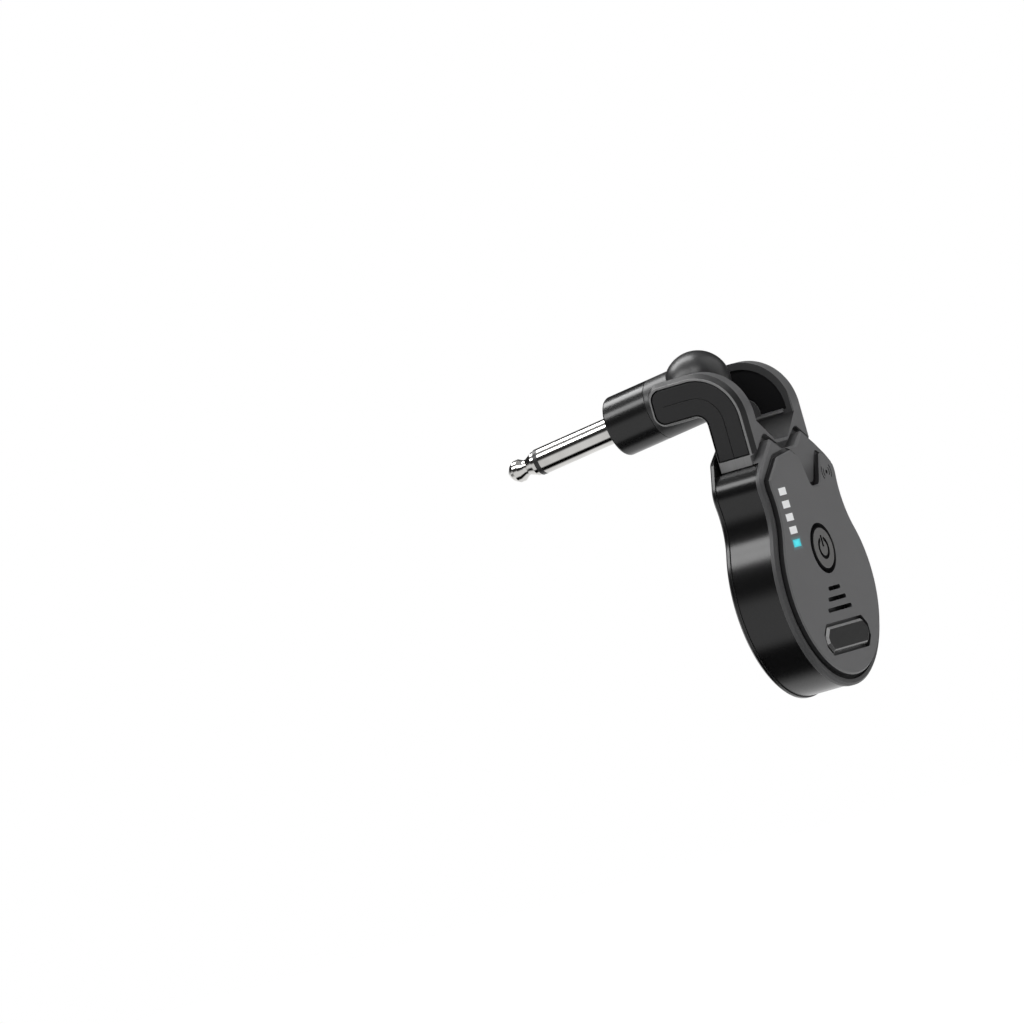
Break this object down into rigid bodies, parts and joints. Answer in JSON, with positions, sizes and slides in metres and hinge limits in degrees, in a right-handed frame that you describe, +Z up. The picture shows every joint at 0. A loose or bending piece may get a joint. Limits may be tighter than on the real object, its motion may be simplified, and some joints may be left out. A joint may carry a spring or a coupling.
{
  "type": "wireless guitar transmitter",
  "caption": "Plug-in wireless transmitter for an electric guitar: a flat guitar-shaped case with a power button, hung on a jack plug that folds between two hooked ears.",
  "frame": {"origin": "centre of the jack plug's shoulder, on the end face of the barrel", "axes": "+Z up the case, +Y from the face to the back, the way the plug points, +X to the right seen from the front"},
  "size_m": [0.0492, 0.073, 0.0849],
  "materials": {
    "shell_grey": "fine matt texture",
    "case_black": "gloss",
    "cover_black": "satin",
    "arm_black": "satin gloss",
    "plate_black": "polished",
    "key_grey": "satin",
    "window_white": "frosted",
    "window_cyan": "lit",
    "nickel": "polished",
    "insulator": "satin",
    "steel": "plain",
    "brass": "plain",
    "board_green": "solder mask",
    "chip_black": "matt",
    "ceramic": "matt",
    "cell_foil": "foil",
    "foam": "foam",
    "wire_red": "insulated"
  },
  "bodies": {
    "plug_arm": {"knuckle": "arm_black", "hinge_pins": "steel", "barrel_sleeve": "arm_black", "plug_sleeve": "nickel", "plug_insulator": "insulator", "plug_tip": "nickel", "plug_core": "nickel", "plug_collar": "brass", "ground_lug": "brass", "signal_lug": "brass", "arm_wires": "wire_red"},
    "housing": {"front_shell": "shell_grey", "face_panel": "shell_grey", "yoke": "shell_grey", "wall_ring": "case_black", "back_cover": "case_black", "left_hook_cover": "cover_black", "right_hook_cover": "cover_black", "name_plate": "plate_black", "indicator_windows": "window_white", "lit_indicator_window": "window_cyan", "case_screws": "steel", "board_screws": "steel", "yoke_screws": "steel", "usb_socket": "steel", "friction_washers": "steel", "radio_shield_can": "steel", "hinge_bushes": "brass", "circuit_board": "board_green", "codec_chip": "chip_black", "charger_chip": "chip_black", "tact_switch": "chip_black", "chip_antenna": "ceramic", "battery_connector": "ceramic", "indicator_leds": "ceramic", "battery": "cell_foil", "light_barrier": "foam", "battery_foam": "foam", "battery_tape": "foam", "hinge_wires": "wire_red", "battery_leads": "wire_red"},
    "button": {"power_button": "key_grey", "switch_plunger": "chip_black"}
  },
  "joints": [
    {"name": "plug_hinge", "type": "hinge", "parent": "plug_arm", "child": "housing", "pos_m": [0, -0.02025, 0.00249], "axis": [1, 0, 0], "range_deg": [-138, 82]},
    {"name": "button_press", "type": "slide", "parent": "housing", "child": "button", "axis": [0, 1, 0], "range_m": [0, 0.0004], "stiffness_N_per_m": 3000, "springref_m": -0.0002}
  ]
}
